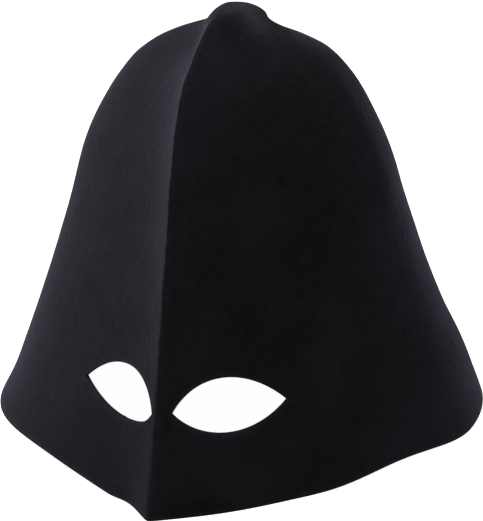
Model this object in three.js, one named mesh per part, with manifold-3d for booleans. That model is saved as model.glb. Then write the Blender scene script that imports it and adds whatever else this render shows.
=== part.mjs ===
// A felt hood: one piece of felt blocked into a bell, creased sharply down its front,
// with a small nub on the crown and two almond eye holes.
// Millimetres, +Z up. The front crease faces -Y, the fold plane is x = 0,
// and the hem rests on z = 0, with the middle of its bounding box on the origin.
import * as THREE from 'three';
import { mergeVertices } from 'three/addons/utils/BufferGeometryUtils.js';
import Module from 'manifold-3d';

const wasm = await Module();
wasm.setup();

// Driving dimensions of the bell, measured from the upright line through the nub.
const HALF_WIDTH = 125; // half the width across the hem
const FRONT_REACH = 142; // from the nub's line forward to the crease, at the hem
const BACK_REACH = 114; // from the nub's line back to the hem
const HEIGHT = 215; // hem to the top of the nub
const FELT = 2; // thickness of the felt wall

// The crease is a narrow beak laid over a round section.
const CREASE_SPREAD = 0.4; // share of the half width over which its flanks flare out
const CREASE_FOLD = 0.01; // share of the half width over which its edge is rounded

// The hem's waves, at their largest.
const WAVE_LIFT = 4.5; // hem raised off the surface
const WAVE_PUSH = 5; // hem bowed out, or in where a share is negative
const WAVE_RISE = 32; // height over which the waves fade

// Eye holes, measured on the chord of their panel.
const EYE_CORNER = 6.6; // inner corner from the fold plane
const EYE_LENGTH = 46; // inner corner to outer corner, across the hat
const EYE_HEIGHT = 47; // inner corner above the hem
const EYE_LID = 13; // how high the upper lid arches above the corners' line
const CUT_DEPTH = 16; // the cut reaches this far to each side of the chord

const MESH_AROUND = 80; // facets around

// Sections from the hem to the top of the nub, as shares: rise of the height, width of the half
// width, front and back of their reaches, beak, the part of the front reach that is crease, and
// skew, how far the round back of the section sits to the +X side, of the half width.
const SECTIONS = [
  { rise: 0.0, width: 1.0, front: 1.0, back: 1.0, beak: 0.23, skew: 0.0 },
  { rise: 0.057, width: 0.967, front: 0.98, back: 0.97, beak: 0.26, skew: 0.005 },
  { rise: 0.138, width: 0.922, front: 0.935, back: 0.93, beak: 0.3, skew: 0.005 },
  { rise: 0.234, width: 0.858, front: 0.885, back: 0.87, beak: 0.35, skew: -0.003 },
  { rise: 0.36, width: 0.78, front: 0.83, back: 0.81, beak: 0.42, skew: -0.003 },
  { rise: 0.508, width: 0.7, front: 0.76, back: 0.745, beak: 0.49, skew: 0.0 },
  { rise: 0.64, width: 0.635, front: 0.695, back: 0.675, beak: 0.56, skew: 0.0 },
  { rise: 0.76, width: 0.54, front: 0.635, back: 0.595, beak: 0.62, skew: 0.008 },
  { rise: 0.85, width: 0.434, front: 0.565, back: 0.467, beak: 0.67, skew: 0.013 },
  { rise: 0.892, width: 0.35, front: 0.515, back: 0.347, beak: 0.7, skew: 0.01 },
  { rise: 0.918, width: 0.268, front: 0.465, back: 0.246, beak: 0.72, skew: 0.01 },
  { rise: 0.937, width: 0.19, front: 0.415, back: 0.19, beak: 0.74, skew: 0.02 },
  { rise: 0.953, width: 0.132, front: 0.373, back: 0.155, beak: 0.7, skew: 0.04 },
  { rise: 0.968, width: 0.102, front: 0.32, back: 0.13, beak: 0.6, skew: 0.06 },
  { rise: 0.983, width: 0.077, front: 0.26, back: 0.096, beak: 0.48, skew: 0.055 },
  { rise: 0.995, width: 0.048, front: 0.168, back: 0.056, beak: 0.38, skew: 0.036 },
  { rise: 1.0, width: 0.0, front: 0.0, back: 0.0, beak: 0.38, skew: 0.0 },
];
const SHOULDER = 8; // above this section the rows are close enough to mesh as they are

// Waves of the hem. Bearing and span are degrees from the crease, positive towards +X, lift and
// push are shares of the largest lift and push, and rise is a share of the waves' rise.
const WAVES = [
  { bearing: -78, span: 45, lift: 0.0, push: 0.7, rise: 0.4 },
  { bearing: -36, span: 38, lift: 0.8, push: -0.2, rise: 1.0 },
  { bearing: -6, span: 7, lift: 0.25, push: -0.3, rise: 0.6 },
  { bearing: 12, span: 24, lift: 0.0, push: 1.0, rise: 1.0 },
  { bearing: 59, span: 28, lift: 0.75, push: -1.0, rise: 1.0 },
  { bearing: 118, span: 46, lift: 0.2, push: 0.6, rise: 1.4 },
];

// The two eye holes are cut by hand and differ a little. Shares: corner and length of the eye
// corner and length, outer, the height of the outer corner, of the eye height, and over and
// under, the arch of the two lids, of the lid.
const EYES = [
  { side: 1, corner: 1.0, length: 1.0, outer: 0.925, over: 0.98, under: 0.91 },
  { side: -1, corner: 0.5, length: 1.06, outer: 0.94, over: 1.1, under: 0.72 },
];

// Where along the chord each lid of each hole is fullest, towards the nose and the temple.
const FULLEST = [
  { overNose: 0.22, overTemple: 0.68, underNose: 0.22, underTemple: 0.68 },
  { overNose: 0.15, overTemple: 0.7, underNose: 0.12, underTemple: 0.6 },
];

const LAST = SECTIONS.length - 1;

// One column of the sections, smoothed. Past the crown the shares of size turn negative and
// the rise comes down again, so the crown closes without a point.
function column(name, at) {
  const low = Math.min(Math.floor(at), LAST - 1);
  const sign = ['width', 'front', 'back'].includes(name) ? -1 : 1;
  const share = (row) => {
    if (row < 0) return 2 * SECTIONS[0][name] - SECTIONS[1][name];
    return row > LAST ? sign * SECTIONS[2 * LAST - row][name] : SECTIONS[row][name];
  };
  const [a, b, c, d] = [low - 1, low, low + 1, low + 2].map(share);
  const t = at - low;
  const start = (c - a) / 2;
  const end = (d - b) / 2;
  return (2 * (b - c) + start + end) * t ** 3 + (3 * (c - b) - 2 * start - end) * t ** 2 + start * t + b;
}

// How far the crease's beak stands out: 1 on the fold plane, 0 at the widest point.
function beakShape(side) {
  const away = Math.hypot(side, CREASE_FOLD) - CREASE_FOLD;
  const rest = Math.exp(-1 / CREASE_SPREAD);
  return (Math.exp(-away / CREASE_SPREAD) - rest) / (1 - rest);
}

// What the waves do at a bearing and a height: lift the wall and push it outwards.
function wavesAt(bearing, height) {
  let lift = 0;
  let push = 0;
  for (const wave of WAVES) {
    const off = THREE.MathUtils.euclideanModulo(bearing - wave.bearing + 180, 360) - 180;
    if (Math.abs(off) >= wave.span) continue;
    const bump = Math.cos((Math.PI / 2) * (off / wave.span)) ** 2;
    const fade = Math.exp(-((Math.max(height, 0) / (WAVE_RISE * wave.rise)) ** 1.5));
    lift += WAVE_LIFT * wave.lift * bump * fade;
    push += WAVE_PUSH * wave.push * bump * fade;
  }
  return { lift, push };
}

// A point of the outer face: bearing in degrees from the crease, at in rows of SECTIONS.
function outerPoint(bearing, at) {
  const angle = THREE.MathUtils.degToRad(bearing);
  const [sin, cos] = [Math.sin(angle), Math.cos(angle)];
  const width = HALF_WIDTH * column('width', at);
  const front = FRONT_REACH * column('front', at);
  const back = BACK_REACH * column('back', at);
  const height = HEIGHT * column('rise', at);
  const skew = HALF_WIDTH * column('skew', at);
  const beak = front * column('beak', at);
  const { lift, push } = wavesAt(bearing, height);
  const reach = cos > 0 ? (front - beak) * cos + beak * beakShape(sin) : back * cos;
  const x = width * sin + (skew * (1 - cos)) / 2 + push * sin;
  const y = -reach - push * cos;
  return new THREE.Vector3(x, y, height + lift);
}

// The outward direction of the wall, from its slopes around and up.
function outward(bearing, at) {
  const [turn, climb] = [0.2, 0.05];
  if (at >= LAST) return new THREE.Vector3(0, 0, 1);
  const across = outerPoint(bearing + turn, at).sub(outerPoint(bearing - turn, at));
  const up = outerPoint(bearing, at + climb).sub(outerPoint(bearing, at - climb));
  return across.cross(up).normalize();
}

function oneWallIn(bearing, at) {
  return outerPoint(bearing, at).addScaledVector(outward(bearing, at), -FELT);
}

// Inside the crease the two flanks meet on the fold plane. This finds the bearing on one side
// (1 or -1) where the inner face reaches that plane.
function innerCrease(side, at) {
  let [near, far] = [0, 60];
  for (let step = 0; step < 24; step += 1) {
    const middle = (near + far) / 2;
    if (side * oneWallIn(side * middle, at).x < 0) near = middle;
    else far = middle;
  }
  return far;
}

// A point of the inner face, one felt thickness in. Its bearings are squeezed a little, so that
// the first of them lies on the inner crease, and the cut hem stays level with the outer edge.
function innerPoint(bearing, at) {
  const half = 180;
  if (at >= LAST) return oneWallIn(bearing, at);
  const turned = bearing > half ? bearing - 2 * half : bearing;
  let inner;
  if (turned === 0) {
    inner = oneWallIn(innerCrease(1, at), at).lerp(oneWallIn(-innerCrease(-1, at), at), 0.5);
    inner.x = 0;
  } else {
    const side = Math.sign(turned);
    const start = innerCrease(side, at);
    inner = oneWallIn(side * (start + Math.abs(turned) * (1 - start / half)), at);
  }
  if (at === 0) inner.z = outerPoint(bearing, at).z;
  return inner;
}

// The shell as one closed mesh: outer face, crown, inner face and the ring of the hem.
// The facets are narrower beside the crease, which is the first of them.
function shellGeometry() {
  const levels = [];
  for (let row = 0; row < LAST; row += row < SHOULDER ? 0.5 : 1) levels.push(row);
  const points = [];
  const triangles = [];
  const crowding = 0.6;
  const bearings = Array.from({ length: MESH_AROUND }, (_, index) => {
    const turn = (2 * Math.PI * index) / MESH_AROUND;
    return THREE.MathUtils.radToDeg(turn - crowding * Math.sin(turn));
  });
  const quad = (a, b, c, d) => triangles.push(a, b, c, a, c, d);

  const addFace = (pointAt, outside) => {
    const first = points.length;
    for (const level of levels) {
      for (const bearing of bearings) points.push(pointAt(bearing, level));
    }
    points.push(pointAt(0, LAST));
    const top = points.length - 1;
    const corner = (level, index) => first + level * MESH_AROUND + (index % MESH_AROUND);
    for (let index = 0; index < MESH_AROUND; index += 1) {
      const [near, far] = outside ? [index, index + 1] : [index + 1, index];
      for (let level = 0; level + 1 < levels.length; level += 1) {
        quad(corner(level, near), corner(level, far), corner(level + 1, far), corner(level + 1, near));
      }
      triangles.push(corner(levels.length - 1, near), corner(levels.length - 1, far), top);
    }
    return first;
  };

  const outer = addFace(outerPoint, true);
  const inner = addFace(innerPoint, false);
  for (let index = 0; index < MESH_AROUND; index += 1) {
    const next = (index + 1) % MESH_AROUND;
    quad(outer + index, inner + index, inner + next, outer + next);
  }

  const geometry = new THREE.BufferGeometry();
  geometry.setAttribute('position', new THREE.Float32BufferAttribute(points.flatMap((p) => p.toArray()), 3));
  geometry.setIndex(triangles);
  return geometry;
}

// The place on the outer face with a given x and height, on the front half of the hat.
function wallPoint(x, z) {
  let [low, high] = [0, LAST];
  let bearing = 0;
  for (let pass = 0; pass < 40; pass += 1) {
    const at = (low + high) / 2;
    let [near, far] = [0, 90];
    for (let step = 0; step < 30; step += 1) {
      bearing = (near + far) / 2;
      if (outerPoint(bearing, at).x < x) near = bearing;
      else far = bearing;
    }
    if (outerPoint(bearing, at).z < z) low = at;
    else high = at;
  }
  return outerPoint(bearing, low);
}

// One almond as a prism across its panel. It is drawn on the +X panel and mirrored for the other.
function eyeCutter(eye, fullest) {
  const start = EYE_CORNER * eye.corner;
  const inner = wallPoint(start, EYE_HEIGHT);
  const outer = wallPoint(start + EYE_LENGTH * eye.length, EYE_HEIGHT * eye.outer);
  const along = outer.clone().sub(inner);
  const length = along.length();
  const lid = 4 / 3; // a cubic lid stands three quarters as high as its handles
  const [over, under] = [EYE_LID * eye.over * lid, -EYE_LID * eye.under * lid];
  const { overNose, overTemple, underNose, underTemple } = fullest;
  const shape = new THREE.Shape();
  shape.moveTo(0, 0);
  shape.bezierCurveTo(underNose * length, under, underTemple * length, under, length, 0);
  shape.bezierCurveTo(overTemple * length, over, overNose * length, over, 0, 0);
  const cutter = new THREE.ExtrudeGeometry(shape, {
    depth: 2 * CUT_DEPTH,
    bevelEnabled: false,
    curveSegments: 12,
  });
  const right = along.normalize();
  const out = new THREE.Vector3().crossVectors(right, new THREE.Vector3(0, 0, 1)).normalize();
  const up = new THREE.Vector3().crossVectors(out, right);
  const frame = new THREE.Matrix4().makeBasis(right, up, out);
  frame.setPosition(inner.addScaledVector(out, -CUT_DEPTH));
  cutter.applyMatrix4(frame);
  const solid = toSolid(cutter);
  return eye.side < 0 ? solid.mirror([1, 0, 0]) : solid;
}

function toSolid(geometry) {
  const bare = geometry.clone();
  bare.deleteAttribute('normal');
  bare.deleteAttribute('uv');
  const merged = mergeVertices(bare, 1e-4);
  return new wasm.Manifold(new wasm.Mesh({
    numProp: 3,
    vertProperties: merged.getAttribute('position').array,
    triVerts: new Uint32Array(merged.getIndex().array),
  }));
}

function toGeometry(solid) {
  const mesh = solid.getMesh();
  const geometry = new THREE.BufferGeometry();
  geometry.setAttribute('position', new THREE.BufferAttribute(mesh.vertProperties, 3));
  geometry.setIndex(new THREE.BufferAttribute(mesh.triVerts, 1));
  return geometry;
}

function feltHood() {
  let hood = toSolid(shellGeometry());
  EYES.forEach((eye, index) => {
    hood = hood.subtract(eyeCutter(eye, FULLEST[index]));
  });
  const geometry = toGeometry(hood);
  geometry.computeBoundingBox();
  const { min, max } = geometry.boundingBox;
  geometry.translate(-(min.x + max.x) / 2, -(min.y + max.y) / 2, -min.z);
  geometry.computeVertexNormals();
  const felt = new THREE.MeshStandardMaterial({ color: 0x1b1b20, roughness: 0.95, metalness: 0 });
  const mesh = new THREE.Mesh(geometry, felt);
  mesh.name = 'felt_hood';
  return mesh;
}

const hat = new THREE.Group();
hat.add(feltHood());

export default hat;
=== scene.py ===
# %% [markdown]
# # A felt hood with two eye holes
#
# The object is a hat made from one piece of black wool felt. A maker wets a felt bell, pulls
# it over a block, pinches it into a sharp crease down the front, and cuts two almond eye
# holes. Nothing is sewn on. This lesson makes its visible skin, felt and light in Blender.
#
# The measured model comes first. It is loaded as a fixed frame, and everything made here is
# in metres in that same frame, so nothing has to be fitted afterwards.

# %% Load the measured frame
import math

import bpy
import numpy as np
from mathutils import Matrix, Vector, kdtree, noise


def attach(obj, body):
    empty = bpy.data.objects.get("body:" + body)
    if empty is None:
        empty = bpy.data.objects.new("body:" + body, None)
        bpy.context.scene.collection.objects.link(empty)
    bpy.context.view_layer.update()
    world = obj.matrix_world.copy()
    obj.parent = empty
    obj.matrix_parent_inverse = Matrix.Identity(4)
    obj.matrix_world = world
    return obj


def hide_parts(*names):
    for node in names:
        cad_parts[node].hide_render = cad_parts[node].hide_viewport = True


MM = 1000  # millimetres in a metre, for what is printed
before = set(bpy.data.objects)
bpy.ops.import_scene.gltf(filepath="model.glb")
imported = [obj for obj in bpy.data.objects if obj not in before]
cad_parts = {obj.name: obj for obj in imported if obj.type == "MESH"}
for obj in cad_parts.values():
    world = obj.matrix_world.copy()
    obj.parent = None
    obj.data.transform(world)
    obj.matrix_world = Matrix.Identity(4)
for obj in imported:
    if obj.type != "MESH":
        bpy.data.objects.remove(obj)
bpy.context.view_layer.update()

# %% [markdown]
# ## The camera
#
# A long lens from a little to the side and above shows the narrow left flank, the crease and
# the broad right flank, as in the photograph. The camera could be turned by hand, but here it
# is placed from five readable values: where it looks from, how it leans, how far off it is,
# what it aims at, and its lens. The lean is a small roll, which tips the hat's top to the left.

# %% Place the camera
AZIMUTH, ELEVATION, ROLL = 18.55, 21.86, -1.63
DISTANCE = 1.3
AIM = Vector((0.0046, 0.0118, 0.0791))
FRAME_WIDTH, FRAME_HEIGHT = 483, 521
LENS_PIXELS = 2539.3  # focal length, in pixels of the frame
SENSOR = 36.0


def camera_axes(azimuth, elevation, roll):
    """The camera's own right, up and back directions."""
    turn, climb, lean = (math.radians(angle) for angle in (azimuth, elevation, roll))
    level = math.cos(climb)
    back = Vector((math.sin(turn) * level, -math.cos(turn) * level, math.sin(climb)))
    right = Vector((math.cos(turn), math.sin(turn), 0.0))
    up = back.cross(right)
    leaning_right = right * math.cos(lean) + up * math.sin(lean)
    leaning_up = up * math.cos(lean) - right * math.sin(lean)
    return leaning_right, leaning_up, back


lens = bpy.data.cameras.new("photo_lens")
lens.sensor_fit = "AUTO"
lens.sensor_width = SENSOR
lens.lens = LENS_PIXELS / max(FRAME_WIDTH, FRAME_HEIGHT) * SENSOR
lens.clip_start, lens.clip_end = 0.05, 30.0
camera = bpy.data.objects.new("photo_camera", lens)
bpy.context.scene.collection.objects.link(camera)
bpy.context.scene.camera = camera
right, up, back = camera_axes(AZIMUTH, ELEVATION, ROLL)
place = Matrix((right, up, back)).transposed().to_4x4()
place.translation = AIM + back * DISTANCE
camera.matrix_world = place
print("lens", round(lens.lens, 1), "mm, camera at", [round(value, 3) for value in place.translation])

# %% [markdown]
# ## The bell, as sections
#
# A blocked felt hat has no straight line and no true circle. It could be sculpted, but a
# sculpt can't be measured. So the bell is written down as level sections from the hem to the
# small nub on top. Each row gives the height and the reaches of one section as shares of the
# whole hat. A row also says how much of the front reach belongs to the pinched crease.

# %% Write down the sections
HALF_WIDTH, FRONT_REACH, BACK_REACH = 0.125, 0.142, 0.114
HEIGHT, FELT = 0.215, 0.002
SECTION_COLUMNS = ("rise", "width", "front", "back", "beak", "skew")
SECTION_ROWS = [
    (0.0, 1.0, 1.0, 1.0, 0.23, 0.0),
    (0.057, 0.967, 0.98, 0.97, 0.26, 0.005),
    (0.138, 0.922, 0.935, 0.93, 0.3, 0.005),
    (0.234, 0.858, 0.885, 0.87, 0.35, -0.003),
    (0.36, 0.78, 0.83, 0.81, 0.42, -0.003),
    (0.508, 0.7, 0.76, 0.745, 0.49, 0.0),
    (0.64, 0.635, 0.695, 0.675, 0.56, 0.0),
    (0.76, 0.54, 0.635, 0.595, 0.62, 0.008),
    (0.85, 0.434, 0.565, 0.467, 0.67, 0.013),
    (0.892, 0.35, 0.515, 0.347, 0.7, 0.01),
    (0.918, 0.268, 0.465, 0.246, 0.72, 0.01),
    (0.937, 0.19, 0.415, 0.19, 0.74, 0.02),
    (0.953, 0.132, 0.373, 0.155, 0.7, 0.04),
    (0.968, 0.102, 0.32, 0.13, 0.6, 0.06),
    (0.983, 0.077, 0.26, 0.096, 0.48, 0.055),
    (0.995, 0.048, 0.168, 0.056, 0.38, 0.036),
    (1.0, 0.0, 0.0, 0.0, 0.38, 0.0),
]
LAST = len(SECTION_ROWS) - 1
HALF_WAY = 5  # the row nearest to half the hat's height
SHRINKING = ("width", "front", "back")
sections = {}
for column, name in enumerate(SECTION_COLUMNS):
    rows = [row[column] for row in SECTION_ROWS]
    sign = -1 if name in SHRINKING else 1
    below = 2 * rows[0] - rows[1]
    sections[name] = np.array([below, below] + rows + [sign * rows[-2], sign * rows[-3]])
print(len(SECTION_ROWS), "sections")

# %% [markdown]
# ## One smooth column
#
# Straight lines between the sections would leave rings around the hat. A cubic curve
# runs through every row and keeps the slope from one to the next. Past the crown the sizes
# turn negative, as if the curve ran down the other side, so the top closes round.

# %% Read a column between its rows


def share(name, at):
    """A column of the sections at any place between the rows."""
    at = np.asarray(at, float)
    low = np.minimum(np.floor(at), LAST - 1).astype(int)
    a, b, c, d = (sections[name][low + 2 + step] for step in (-1, 0, 1, 2))
    t = at - low
    start, end = (c - a) / 2, (d - b) / 2
    cubic = 2 * (b - c) + start + end
    square = 3 * (c - b) - 2 * start - end
    return ((cubic * t + square) * t + start) * t + b


half_widths = [round(MM * HALF_WIDTH * float(share("width", at)), 1) for at in (0, HALF_WAY)]
print("half width at the hem and half way, mm", half_widths)

# %% [markdown]
# ## The waves of the hem
#
# Cut felt never stays level. Here and there the hem lifts off the table, bows out or tucks
# in, and the wave dies away up the wall. Each wave is one row: its bearing from the crease,
# how wide it is, how much it lifts and pushes, and how far up it reaches.

# %% Write down the waves
WAVE_LIFT, WAVE_PUSH, WAVE_RISE = 0.0045, 0.005, 0.032
WAVES = [
    (-78, 45, 0.0, 0.7, 0.4),
    (-36, 38, 0.8, -0.2, 1.0),
    (-6, 7, 0.25, -0.3, 0.6),
    (12, 24, 0.0, 1.0, 1.0),
    (59, 28, 0.75, -1.0, 1.0),
    (118, 46, 0.2, 0.6, 1.4),
]


def waves_at(bearing, height):
    """How far the waves lift the wall and push it out, at bearings in degrees."""
    lift = np.zeros(np.broadcast(bearing, height).shape)
    push = np.zeros_like(lift)
    for middle, span, lifts, pushes, rise in WAVES:
        off = (bearing - middle + 180) % 360 - 180
        bump = np.where(np.abs(off) < span, np.cos(np.pi / 2 * off / span) ** 2, 0)
        fade = np.exp(-((np.maximum(height, 0) / (WAVE_RISE * rise)) ** 1.5))
        lift += WAVE_LIFT * lifts * bump * fade
        push += WAVE_PUSH * pushes * bump * fade
    return lift, push


print(len(WAVES), "waves")

# %% [markdown]
# ## The outer face
#
# Seen from above, each section is a round back and a pinched front. The pinch is a beak: it
# stands out sharply at the crease and flares into the round part within less than half the
# width. Its very edge is rounded over about a millimetre, because felt can't fold sharper.

# %% Find a point of the outer face
CREASE_SPREAD, CREASE_FOLD = 0.4, 0.01


def beak_shape(side):
    """1 on the crease, 0 at the widest point of the hat."""
    away = np.hypot(side, CREASE_FOLD) - CREASE_FOLD
    rest = math.exp(-1 / CREASE_SPREAD)
    return (np.exp(-away / CREASE_SPREAD) - rest) / (1 - rest)


def outer_point(bearing, at):
    """Points of the outer face: bearing in degrees from the crease, at in rows."""
    angle = np.radians(bearing)
    sin, cos = np.sin(angle), np.cos(angle)
    front = FRONT_REACH * share("front", at)
    beak = front * share("beak", at)
    height = HEIGHT * share("rise", at)
    lift, push = waves_at(bearing, height)
    ahead = (front - beak) * cos + beak * beak_shape(sin)
    reach = np.where(cos > 0, ahead, BACK_REACH * share("back", at) * cos)
    lean = HALF_WIDTH * share("skew", at) * (1 - cos) / 2
    x = HALF_WIDTH * share("width", at) * sin + lean + push * sin
    return np.stack([x, -reach - push * cos, height + lift], axis=-1)


around = np.linspace(-180, 180, 721)
hem = outer_point(around, np.zeros_like(around))
print("hem, mm wide and deep", (np.ptp(hem, axis=0)[:2] * MM).round(1))

# %% [markdown]
# ## The inner face
#
# The felt is two millimetres thick all over. Blender's Solidify could give that thickness,
# but inside the crease its two flanks would run through each other. Here each inner point
# lies one felt thickness in, and on each side of the crease the inner face starts where it
# meets the fold plane.

# %% Find a point of the inner face
CREASE_SEARCH = 60.0  # the inner crease lies within this bearing, in degrees
CREASE_HALVINGS = 24


def outward(bearing, at):
    """The direction out of the wall, from its slopes around and up."""
    turn, climb = 0.2, 0.05
    across = outer_point(bearing + turn, at) - outer_point(bearing - turn, at)
    rising = outer_point(bearing, at + climb) - outer_point(bearing, at - climb)
    out = np.cross(across, rising)
    return out / np.linalg.norm(out, axis=-1, keepdims=True)


def one_wall_in(bearing, at):
    return outer_point(bearing, at) - FELT * outward(bearing, at)


def inner_crease(side, at):
    """The bearing on one side where the inner face reaches the fold plane."""
    near, far = np.zeros_like(at), np.full_like(at, CREASE_SEARCH)
    for _ in range(CREASE_HALVINGS):
        middle = (near + far) / 2
        outside = side * one_wall_in(side * middle, at)[..., 0] < 0
        near, far = np.where(outside, middle, near), np.where(outside, far, middle)
    return far


def inner_point(bearing, at):
    """Points of the inner face, with the bearings squeezed to start at the inner crease."""
    side = np.where(bearing < 0, -1.0, 1.0)
    start = inner_crease(side, at)
    inner = one_wall_in(side * (start + np.abs(bearing) * (1 - start / 180)), at)
    inner[..., 0] = np.where(bearing == 0, 0.0, inner[..., 0])
    return inner


half_way = np.full_like(around, HALF_WAY)
wall = np.linalg.norm(outer_point(around, half_way) - one_wall_in(around, half_way), axis=1) * MM
print("wall, mm", round(wall.min(), 2), "to", round(wall.max(), 2))

# %% [markdown]
# ## The net of the shell
#
# Both faces share one net of columns and rows. Columns crowd at the crease, where the wall
# turns fastest, and rows crowd at the eye holes, so that the cut edge there is drawn finely.

# %% Lay out the net
COLUMNS = 300
CROWDING = 0.6
EYES_FROM, EYES_TO, CROWN_FROM = 2.2, 4.35, 8  # in rows of the sections
ROW_BANDS = [
    (0, EYES_FROM, 10),
    (EYES_FROM, EYES_TO, 39),
    (EYES_TO, CROWN_FROM, 57),
    (CROWN_FROM, LAST, 33),
]

steps = 2 * np.pi * np.arange(COLUMNS) / COLUMNS
bearings = np.degrees(steps - CROWDING * np.sin(steps))
bearings = np.where(bearings > 180, bearings - 360, bearings)
levels = np.concatenate([np.linspace(*band, endpoint=False) for band in ROW_BANDS])
net_bearing, net_at = np.meshgrid(bearings, levels)
print(len(levels), "rows by", COLUMNS, "columns")

# %% [markdown]
# ## The eye holes
#
# Each hole is an almond cut straight through the panel, by hand. A Boolean would do it, but
# it leaves slivers that show as ticks in the shading. Instead, the net's own points slide
# along the felt until the nearest ones lie on the almond's line. Then the faces inside it
# go. First the almond itself is drawn on its panel's chord.

# %% Draw the almonds
EYE_CORNER, EYE_LENGTH, EYE_HEIGHT, EYE_LID = 0.0066, 0.046, 0.047, 0.013
EYE_COLUMNS = ("side", "corner", "length", "outer", "over", "under")
EYE_ROWS = [(1, 1.0, 1.0, 0.925, 0.98, 0.91), (-1, 0.5, 1.06, 0.94, 1.1, 0.72)]
FULLEST_COLUMNS = ("over_nose", "over_temple", "under_nose", "under_temple")
FULLEST_ROWS = [(0.22, 0.68, 0.22, 0.68), (0.15, 0.7, 0.12, 0.6)]
HEIGHT_HALVINGS, BEARING_HALVINGS = 40, 30
LID_POINTS = 400


def wall_point(x, z):
    """The place on the outer face, in the front half, at a given x and height."""
    low, high = 0.0, float(LAST)
    for _ in range(HEIGHT_HALVINGS):
        at = (low + high) / 2
        near, far = 0.0, 90.0
        for _ in range(BEARING_HALVINGS):
            bearing = (near + far) / 2
            here = outer_point(bearing, at)
            near, far = (bearing, far) if here[0] < x else (near, bearing)
        low, high = (at, high) if here[2] < z else (low, at)
    return Vector(here)


def lid(length, nose, temple, arch):
    """One lid as a curve from corner to corner: a cubic with level handles."""
    t = np.linspace(0, 1, LID_POINTS)
    along = 3 * nose * length * t * (1 - t) ** 2 + 3 * temple * length * t**2 * (1 - t) + length * t**3
    return along, 4 * arch * t * (1 - t)


def almond(eye):
    """The panel's chord and the two lids of one eye hole."""
    start = EYE_CORNER * eye["corner"]
    corner = wall_point(start, EYE_HEIGHT)
    along = wall_point(start + EYE_LENGTH * eye["length"], EYE_HEIGHT * eye["outer"]) - corner
    length = along.length
    along.normalize()
    out = along.cross(Vector((0, 0, 1))).normalized()
    return {
        "side": eye["side"],
        "corner": corner,
        "along": along,
        "up": out.cross(along),
        "out": out,
        "length": length,
        "over": lid(length, eye["over_nose"], eye["over_temple"], EYE_LID * eye["over"]),
        "under": lid(length, eye["under_nose"], eye["under_temple"], -EYE_LID * eye["under"]),
    }


almonds = []
for row, fullest in zip(EYE_ROWS, FULLEST_ROWS):
    almonds.append(almond({**dict(zip(EYE_COLUMNS, row)), **dict(zip(FULLEST_COLUMNS, fullest))}))
for eye in almonds:
    tall = (eye["over"][1].max() - eye["under"][1].min()) * MM
    print("eye hole", eye["side"], round(eye["length"] * MM, 1), "mm long,", round(tall, 1), "mm tall")

# %% [markdown]
# ## Sliding the net onto the cut
#
# A point slides along the felt in two directions, around and up. A few trial steps find
# how far to go in each for it to land on the almond. The points around follow a little, so
# that the faces beside the cut stay even.

# %% Slide points of a face onto an almond
TRIAL_STEPS = 8
NEAR_PANEL = 0.016  # a hole's own cells lie within this distance of its panel's chord


def on_panel(points, eye):
    """Places along and up the panel's chord, and off it, for points on either panel."""
    mirrored = points * np.array([eye["side"], 1, 1]) - np.array(eye["corner"])
    return [mirrored @ np.array(eye[axis]) for axis in ("along", "up", "out")]


def slide_to(face, bearing, at, goal, eye):
    """Trial steps that bring points of a face to a goal on the panel."""
    turn, climb = 0.01, 0.002
    for _ in range(TRIAL_STEPS):
        here = np.array(on_panel(face(bearing, at), eye)[:2])
        by_turn = (np.array(on_panel(face(bearing + turn, at), eye)[:2]) - here) / turn
        by_climb = (np.array(on_panel(face(bearing, at + climb), eye)[:2]) - here) / climb
        miss = goal - here
        area = by_turn[0] * by_climb[1] - by_turn[1] * by_climb[0]
        bearing = bearing + (miss[0] * by_climb[1] - miss[1] * by_climb[0]) / area
        at = at + (by_turn[0] * miss[1] - by_turn[1] * miss[0]) / area
    return bearing, at


def inside_lids(along, up_panel, eye):
    """Which places on the panel lie between the two lids."""
    under = np.interp(along, *eye["under"], left=1, right=1)
    over = np.interp(along, *eye["over"], left=-1, right=-1)
    return (up_panel > under) & (up_panel < over)


def net_middles(values):
    """The middle of each cell of the net, from its four corners."""
    pair = values[:-1] + values[1:]
    return (pair + np.roll(pair, -1, axis=1)) / 4


outer_net = outer_point(net_bearing, net_at)
open_cells = np.zeros((len(levels) - 1, COLUMNS), bool)
for eye in almonds:
    along, up_panel, off = on_panel(net_middles(outer_net), eye)
    eye["cells"] = inside_lids(along, up_panel, eye) & (np.abs(off) < NEAR_PANEL)
    open_cells |= eye["cells"]
print(int(open_cells.sum()), "cells are cut away")

# %% [markdown]
# ## Which points go where
#
# Only the points on the edge of a hole have a fixed goal, the nearest place on a lid. The
# rest of the net takes the mean of its neighbours a few times over, as a Smooth modifier
# would, but it moves along the felt and never off it.

# %% Bring the edge of each hole to its lids
SMOOTHINGS = 12


def corners_of(cells):
    """Which points of the net are corners of these cells."""
    touched = np.zeros((len(levels), COLUMNS), bool)
    for down in (0, 1):
        for over in (0, 1):
            touched[down : len(levels) - 1 + down] |= np.roll(cells, over, axis=1)
    return touched


def lid_goals(along, up_panel, eye):
    """The nearest place on the lids for each point, with one point at each corner."""
    line = np.hstack([np.array(eye["under"]), np.array(eye["over"])])
    apart = np.hypot(along[:, None] - line[0], up_panel[:, None] - line[1])
    goal = line[:, apart.argmin(axis=1)]
    for corner in (0.0, eye["length"]):
        goal[:, np.hypot(along - corner, up_panel).argmin()] = corner, 0.0
    return goal


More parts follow.
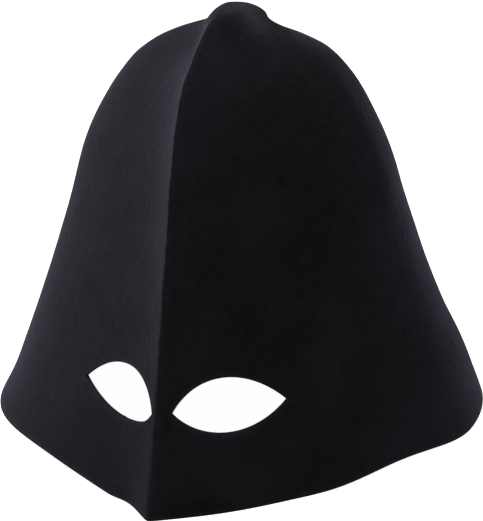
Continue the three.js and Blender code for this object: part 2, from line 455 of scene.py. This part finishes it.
def settled_net(face):
    """The net's bearings and rows after its points have slid onto both almonds."""
    moved = np.zeros(net_bearing.shape + (2,))
    held = np.zeros(net_bearing.shape, bool)
    for eye in almonds:
        edge = corners_of(eye["cells"]) & corners_of(~open_cells)
        start = outer_point(net_bearing[edge], net_at[edge])
        along, up_panel, _ = on_panel(start, eye)
        goal = lid_goals(along, up_panel, eye)
        bearing, at = slide_to(face, net_bearing[edge], net_at[edge], goal, eye)
        moved[edge] = np.stack([bearing - net_bearing[edge], at - net_at[edge]], axis=-1)
        held |= edge
    free = corners_of(~open_cells) & ~held
    for _ in range(SMOOTHINGS):
        beside = np.roll(moved, 1, axis=1) + np.roll(moved, -1, axis=1)
        beside[1:-1] += moved[2:] + moved[:-2]
        moved[1:-1][free[1:-1]] = beside[1:-1][free[1:-1]] / 4
    return net_bearing + moved[..., 0], net_at + moved[..., 1]


outer_net = outer_point(*settled_net(outer_point))
inner_net = inner_point(*settled_net(inner_point))
inner_net[0, :, 2] = outer_net[0, :, 2]
print("outer and inner nets hold", 2 * outer_net[..., 0].size, "points")

# %% [markdown]
# ## On the origin
#
# The measured hat has the middle of its box on the origin and its hem at height zero. The
# net is moved there now, before anything depends on where it is.

# %% Stand the hat on the origin
low, high = outer_net.min(axis=(0, 1)), outer_net.max(axis=(0, 1))
centre = np.array([(low[0] + high[0]) / 2, (low[1] + high[1]) / 2, low[2]])
outer_net -= centre
inner_net -= centre
print("moved by, mm", (-centre * MM).round(2))

# %% [markdown]
# ## The unevenness of hand work
#
# A block and a pair of hands leave the wall a fraction of a millimetre uneven, mostly over
# the width of a thumb. Displacing with a Displace modifier would part the two faces, so both
# move by the same noise here, and the wall keeps its thickness. The edge of the crease also
# sways a little from side to side, where fingers pinched it. The hem stays level.

# %% Press the shell a little uneven
DENTS = [(28.0, 0.00035), (75.0, 0.00012)]  # waves to a metre, and depth
SWAYS = [(90.0, 0.0004), (240.0, 0.0002), (430.0, 0.00022)]  # the same for the crease's edge
SWAY_PLACE = 7  # where in the noise the sways are read
PINCH = 0.004  # how far from the crease its sway reaches
CALM_RISE, CALM_SHARE = 0.012, 0.4  # unevenness sets in over this height, above this share of it


def unevenness(points):
    """A smooth noise, in metres, for every point."""
    spots = points.reshape(-1, 3)
    total = np.zeros(len(spots))
    for pitch, depth in DENTS:
        total += depth * np.array([noise.noise(Vector(spot * pitch)) for spot in spots])
    return total.reshape(points.shape[:-1])


def crease_sway(heights):
    """How far the crease's edge stands to one side, in metres, at these heights."""
    total = np.zeros(len(heights))
    for pitch, depth in SWAYS:
        spots = [Vector((0, SWAY_PLACE, height * pitch)) for height in heights]
        total += depth * np.array([noise.noise(spot) for spot in spots])
    return total[:, None]


out_of_wall = outward(net_bearing, net_at)
calm = np.clip(outer_net[..., 2] / CALM_RISE - CALM_SHARE, 0, 1)
pinched = np.exp(-((outer_net[..., 0] / PINCH) ** 2)) * (outer_net[..., 1] < 0)
shift = (unevenness(outer_net) * calm)[..., None] * out_of_wall
shift[..., 0] += crease_sway(outer_net[:, 0, 2]) * pinched * calm
outer_net += shift
inner_net += shift
print("uneven by up to", round(float(np.abs(shift).max()) * MM, 2), "mm")

# %% [markdown]
# ## One closed shell
#
# The two faces become one closed mesh. A fan closes each crown, a ring closes the hem, and
# a short wall closes each eye hole. The inner face's points follow the outer ones in the
# same order, so one step in number leads through the felt.

# %% Build the shell
crown = outer_point(0.0, float(LAST)) - centre
points = np.vstack([outer_net.reshape(-1, 3), crown, inner_net.reshape(-1, 3), crown - [0, 0, FELT]])
INNER = len(levels) * COLUMNS + 1
POLE = INNER - 1
number = np.arange(POLE).reshape(len(levels), COLUMNS)
beside = np.roll(number, -1, axis=1)
cell_corners = np.stack([number[:-1], beside[:-1], beside[1:], number[1:]], axis=-1)
kept = cell_corners[~open_cells]
fan = np.stack([number[-1], beside[-1], np.full(COLUMNS, POLE)], axis=-1)
ring = np.stack([number[0], number[0] + INNER, beside[0] + INNER, beside[0]], axis=-1)
CELL_SIDES = [(0, 1, 1, 0), (2, 3, -1, 0), (1, 2, -1, 1), (3, 0, 1, 1)]  # corners, roll and axis


def hole_edges():
    """Edges between a cut cell and a kept one, in the cut cell's own direction."""
    edges = []
    for first, second, roll, axis in CELL_SIDES:
        cells = open_cells & ~np.roll(open_cells, roll, axis=axis)
        edges.append(cell_corners[cells][:, [first, second]])
    return np.vstack(edges)


cut = hole_edges()
cut_wall = np.stack([cut[:, 0], cut[:, 1], cut[:, 1] + INNER, cut[:, 0] + INNER], axis=-1)
quads = np.vstack([kept, kept[:, ::-1] + INNER, ring, cut_wall])
triangles = np.vstack([fan, fan[:, ::-1] + INNER])
mesh = bpy.data.meshes.new("felt_shell")
mesh.from_pydata(points.tolist(), [], quads.tolist() + triangles.tolist())
mesh.validate()
shell = bpy.data.objects.new("felt_shell", mesh)
bpy.context.scene.collection.objects.link(shell)
print(len(mesh.vertices), "points and", len(mesh.polygons), "faces;", len(cut), "edges round the eye holes")

# %% [markdown]
# ## Soft cut edges
#
# A blade leaves felt with a crisp edge that the fingers soon round off. The Bevel modifier
# can do that where an edge has a bevel weight, so only the hem and the eye holes get one.
# The crease keeps its own shape. The result is then made a plain mesh. Its volume shows
# whether the faces point outwards: a positive one, near the measured model's, is right.

# %% Round the cut edges
EDGE_ROUND = 0.0004
CUBIC_CM = 1e6  # cubic centimetres in a cubic metre


def blade_pairs():
    """The ends of every edge that the blade made."""
    rings = [np.stack([number[0], beside[0]], axis=-1), cut]
    pairs = np.vstack([pair + offset for pair in rings for offset in (0, INNER)])
    return {tuple(sorted(pair)) for pair in pairs.tolist()}


bladed = blade_pairs()
weight = mesh.attributes.new("bevel_weight_edge", "FLOAT", "EDGE")
weights = [1.0 if tuple(sorted(edge.vertices)) in bladed else 0.0 for edge in mesh.edges]
weight.data.foreach_set("value", weights)
bevel = shell.modifiers.new("worn_edge", "BEVEL")
bevel.limit_method = "WEIGHT"
bevel.width = EDGE_ROUND
bevel.segments = 3
bevel.use_clamp_overlap = False


def settle(piece):
    """Makes the result of a piece's modifiers its own plain mesh."""
    view_layer = bpy.context.evaluated_depsgraph_get()
    plain = bpy.data.meshes.new_from_object(piece.evaluated_get(view_layer))
    piece.modifiers.clear()
    piece.data = plain
    plain.name = piece.name
    plain.shade_smooth()
    return plain


skin = settle(shell)
skin.calc_loop_triangles()
skin_points = np.array([vertex.co for vertex in skin.vertices])
skin_faces = np.array([triangle.vertices for triangle in skin.loop_triangles])
a, b, c = (skin_points[skin_faces[:, corner]] for corner in range(3))
volume = float(np.einsum("ij,ij->i", a, np.cross(b, c)).sum() / 6)
print(len(skin_faces), "triangles, felt volume", round(volume * CUBIC_CM, 1), "cubic cm")
print(round(sum(weights)), "edges rounded")

# %% [markdown]
# ## Worn edges and painted highlights
#
# Hands and shelves loosen the nap along the hem and round the eye holes, and loosened wool
# looks paler. Down the crease, and most of all on the side of the nub that sticks out, the same
# paler tone is a painted highlight, where light catches the fold and the nub. A material can't
# know where those places are, so each point of the mesh stores how much paler it is.

# %% Store the wear and the painted highlights at each point
CREASE_POINTS = 400
NUB_HIGHLIGHT_SIDE = [0.014, -0.004, -0.006]  # from the crown to the side of the nub with the painted highlight


def crease_line():
    """Points down the sharp edge of the crease."""
    rows = np.linspace(0, LAST - 1, CREASE_POINTS)
    return outer_point(np.zeros_like(rows), rows) - centre


def wear_and_highlight(places, reach, amount):
    """How much paler each point of the skin is near one set of places, worn edges and painted highlights
    alike.
    """
    tree = kdtree.KDTree(len(places))
    for index, spot in enumerate(places):
        tree.insert(Vector(spot), index)
    tree.balance()
    far = np.array([tree.find(Vector(point))[2] for point in skin_points])
    return amount * np.exp(-((far / reach) ** 2))


cut_line = points[sorted({end for pair in bladed for end in pair})]
# The cut edges are worn; the crease and the nub's side carry painted highlights.
WORN_AND_HIGHLIGHT_PLACES = [
    (cut_line, 0.0016, 0.35),
    (crease_line(), 0.0022, 0.3),
    ([crown + NUB_HIGHLIGHT_SIDE], 0.01, 1.1),
]
wear_and_highlight_amounts = np.max([wear_and_highlight(*rub) for rub in WORN_AND_HIGHLIGHT_PLACES], axis=0)
# Wear and painted highlight are stored together as one attribute.
skin.attributes.new("wear_and_highlight", "FLOAT", "POINT").data.foreach_set("value", wear_and_highlight_amounts)
print("rubbed by up to", round(float(wear_and_highlight_amounts.max()), 2), "and by", round(float(wear_and_highlight_amounts.mean()), 3), "on average")

# %% [markdown]
# ## The wool's tone
#
# Dyed wool is never one black. Blocks, steam and hands leave soft clouds, and every fibre
# lies its own way. That tone is one node group, with named inputs for its two colours and
# the size of its clouds, so that a felt of another dye could use it too. The fine relief
# comes out as a height, because a material makes its own bump from it.

# %% Build the wool tone group
TONE_SOCKETS = [
    ("Vector", "INPUT", "NodeSocketVector"),
    ("Deep tone", "INPUT", "NodeSocketColor"),
    ("Pale tone", "INPUT", "NodeSocketColor"),
    ("Clouds per metre", "INPUT", "NodeSocketFloat"),
    ("Tone", "OUTPUT", "NodeSocketColor"),
    ("Relief", "OUTPUT", "NodeSocketFloat"),
]
CLOUDS = {"Detail": 5.0, "Roughness": 0.6}
FIBRES = {"Scale": 260.0, "Detail": 4.0, "Roughness": 0.62, "Distortion": 0.4}
TANGLE = {"Scale": 800.0, "Detail": 2.0, "Distortion": 2.2}
TANGLE_SHARE = {"Factor": 0.15}  # of the tangle in the relief, beside the fibres
RELIEF_SHARE = {"Factor": 0.45}  # of the relief in the tone, beside the clouds
TONE_RANGE = {"From Min": 0.3, "From Max": 0.72}  # of the noise, from the deep tone to the pale
FACTOR, COLOUR_A, COLOUR_B, COLOUR_OUT = 0, 6, 7, 2  # a Mix node's colour sockets, by place


def set_inputs(node, settings):
    for entry, value in settings.items():
        node.inputs[entry].default_value = value


def add_node(node_tree, kind, settings):
    """A new node, with its inputs set by name."""
    made = node_tree.nodes.new(kind)
    set_inputs(made, settings)
    return made


def link(node_tree, source, output, target, entry):
    node_tree.links.new(source.outputs[output], target.inputs[entry])


def build_wool_tone():
    """Clouds, fibres and their tangle, as a tone and as a fine relief."""
    group = bpy.data.node_groups.new("wool_tone", "ShaderNodeTree")
    for name, direction, kind in TONE_SOCKETS:
        group.interface.new_socket(name, in_out=direction, socket_type=kind)
    given = group.nodes.new("NodeGroupInput")
    result = group.nodes.new("NodeGroupOutput")

    cloud = add_node(group, "ShaderNodeTexNoise", CLOUDS)
    link(group, given, "Clouds per metre", cloud, "Scale")
    fibre = add_node(group, "ShaderNodeTexNoise", FIBRES)
    tangle = add_node(group, "ShaderNodeTexNoise", TANGLE)
    tangle.noise_type = "RIDGED_MULTIFRACTAL"
    tangle.normalize = True
    for texture in (cloud, fibre, tangle):
        link(group, given, "Vector", texture, "Vector")

    relief = add_node(group, "ShaderNodeMix", TANGLE_SHARE)
    link(group, fibre, "Fac", relief, "A")
    link(group, tangle, "Fac", relief, "B")
    blend = add_node(group, "ShaderNodeMix", RELIEF_SHARE)
    link(group, cloud, "Fac", blend, "A")
    link(group, relief, "Result", blend, "B")
    spread = add_node(group, "ShaderNodeMapRange", TONE_RANGE)
    link(group, blend, "Result", spread, "Value")

    tone = group.nodes.new("ShaderNodeMix")
    tone.data_type = "RGBA"
    link(group, spread, "Result", tone, FACTOR)
    link(group, given, "Deep tone", tone, COLOUR_A)
    link(group, given, "Pale tone", tone, COLOUR_B)
    link(group, tone, COLOUR_OUT, result, "Tone")
    link(group, relief, "Result", result, "Relief")
    return group


wool_tone = build_wool_tone()
print("wool tone group:", len(wool_tone.nodes), "nodes")

# %% [markdown]
# ## Black felt
#
# Felt scatters light deep between its fibres, so it is very rough and hardly glossy. What
# gives it away is its nap, which catches the light where the surface turns away: that is the
# Principled shader's sheen. The faint blue of black dye is in the sheen's tint. Where the
# nap is worn, and for the painted highlights down the crease and on the nub, the stored
# attribute lightens the tone, and the relief breaks it up.

# %% Make the felt
FELT_TONES = {
    "Deep tone": (0.0014, 0.0014, 0.0019, 1),
    "Pale tone": (0.0110, 0.0107, 0.0143, 1),
    "Clouds per metre": 26.0,
}
FELT_FINISH = {
    "Roughness": 0.95,
    "Specular IOR Level": 0.12,
    "Sheen Weight": 0.08,
    "Sheen Roughness": 0.4,
    "Sheen Tint": (0.64, 0.6, 1.0, 1),
}
# Paler felt: worn nap at the cut edges, and a painted highlight down the crease and on the nub.
WORN_AND_HIGHLIGHT_TONE = (0.045, 0.043, 0.054, 1)
NAP = {"Strength": 1.0, "Distance": 0.0005}


def build_black_felt():
    """Felt with the wool's tone, paler where it is worn and where a highlight is painted, and a low nap."""
    felt = bpy.data.materials.new("black_felt")
    felt.use_nodes = True
    node_tree = felt.node_tree
    shader = node_tree.nodes["Principled BSDF"]
    set_inputs(shader, FELT_FINISH)
    where = node_tree.nodes.new("ShaderNodeTexCoord")
    wool = node_tree.nodes.new("ShaderNodeGroup")
    wool.node_tree = wool_tone
    set_inputs(wool, FELT_TONES)
    link(node_tree, where, "Object", wool, "Vector")

    # Worn edges and painted highlights, read from the stored attribute.
    stored = node_tree.nodes.new("ShaderNodeAttribute")
    stored.attribute_name = "wear_and_highlight"
    wear_and_highlight_share = node_tree.nodes.new("ShaderNodeMath")
    wear_and_highlight_share.operation = "MULTIPLY"
    link(node_tree, stored, "Fac", wear_and_highlight_share, 0)
    link(node_tree, wool, "Relief", wear_and_highlight_share, 1)
    worn_and_highlight_tone = node_tree.nodes.new("ShaderNodeMix")
    worn_and_highlight_tone.data_type = "RGBA"
    worn_and_highlight_tone.inputs[COLOUR_B].default_value = WORN_AND_HIGHLIGHT_TONE
    link(node_tree, wear_and_highlight_share, "Value", worn_and_highlight_tone, FACTOR)
    link(node_tree, wool, "Tone", worn_and_highlight_tone, COLOUR_A)
    link(node_tree, worn_and_highlight_tone, COLOUR_OUT, shader, "Base Color")

    nap = add_node(node_tree, "ShaderNodeBump", NAP)
    link(node_tree, wool, "Relief", nap, "Height")
    link(node_tree, nap, "Normal", shader, "Normal")
    return felt


felt = build_black_felt()
skin.materials.clear()
skin.materials.append(felt)
print("felt:", len(felt.node_tree.nodes), "nodes")

# %% [markdown]
# ## The floor
#
# The hat stands on a plain pale surface. In the photograph the eye holes read white, though
# a lamp can't reach the floor inside a hat. A light table solves that: its top glows, so the
# floor inside is pale too, and the shadow beside the hat stays soft. The camera sees it
# brighter than the felt does, or its glow would flatten the hat from below.

# %% Lay the floor
FLOOR_SIZE = 12.0
TABLE_TOP = {"Base Color": (0.5, 0.5, 0.5, 1), "Roughness": 0.9, "Emission Color": (1, 1, 1, 1)}
FLOOR_GLOW = (0.5, 0.99)  # for the scene, and for the camera


def seen_more(node_tree, strengths, target, entry):
    """Sets a strength to one value for the scene and to another for the camera."""
    seen = node_tree.nodes.new("ShaderNodeLightPath")
    amount = add_node(node_tree, "ShaderNodeMapRange", dict(zip(("To Min", "To Max"), strengths)))
    link(node_tree, seen, "Is Camera Ray", amount, "Value")
    link(node_tree, amount, "Result", target, entry)


def lay_floor():
    """A wide level square under the hat, with a glowing top."""
    plane = bpy.data.meshes.new("floor")
    half = FLOOR_SIZE / 2
    square = [(-half, -half, 0), (half, -half, 0), (half, half, 0), (-half, half, 0)]
    plane.from_pydata(square, [], [(0, 1, 2, 3)])
    floor = bpy.data.objects.new("floor", plane)
    bpy.context.scene.collection.objects.link(floor)
    glow = bpy.data.materials.new("light_table")
    glow.use_nodes = True
    shader = glow.node_tree.nodes["Principled BSDF"]
    set_inputs(shader, TABLE_TOP)
    seen_more(glow.node_tree, FLOOR_GLOW, shader, "Emission Strength")
    plane.materials.append(glow)
    return floor


floor = lay_floor()
print("floor at", floor.location.z)

# %% [markdown]
# ## The light
#
# One soft lamp stands high on the left, so the left flank shows its nap and the right flank
# falls into black. A second hangs above, and brings out the nub and the shoulders. The room
# adds almost nothing, but the camera sees it pale behind the hat.

# %% Set up the lamps
LAMP_COLUMNS = ("name", "place", "size", "watts")
LAMP_ROWS = [
    ("left_key", (-0.6, 0.0, 0.55), 0.4, 6.0),
    ("top_light", (0.2, 0.1, 1.1), 0.5, 9.0),
]
LAMP_COLOUR = (1.0, 0.99, 1.0)
LAMP_AIM = Vector((0, 0, 0.1))
ROOM_GLOW = (0.03, 0.99)  # for the scene, and for the camera


def hang_lamp(lamp):
    """A square soft lamp that faces the hat."""
    light = bpy.data.lights.new(lamp["name"], "AREA")
    light.size = lamp["size"]
    light.energy = lamp["watts"]
    light.color = LAMP_COLOUR
    holder = bpy.data.objects.new(lamp["name"], light)
    holder.location = lamp["place"]
    towards = LAMP_AIM - Vector(lamp["place"])
    holder.rotation_euler = towards.to_track_quat("-Z", "Y").to_euler()
    bpy.context.scene.collection.objects.link(holder)
    return holder


for row in LAMP_ROWS:
    lamp = hang_lamp(dict(zip(LAMP_COLUMNS, row)))
    print(lamp.name, lamp.data.energy, "W")
room = bpy.data.worlds.new("room")
room.use_nodes = True
air = room.node_tree.nodes["Background"]
air.inputs["Color"].default_value = (1, 1, 1, 1)
seen_more(room.node_tree, ROOM_GLOW, air, "Strength")
bpy.context.scene.world = room
bpy.context.scene.view_settings.view_transform = "Standard"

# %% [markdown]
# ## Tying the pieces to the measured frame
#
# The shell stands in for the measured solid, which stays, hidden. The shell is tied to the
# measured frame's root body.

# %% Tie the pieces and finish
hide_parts("felt_hood")
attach(shell, "root")
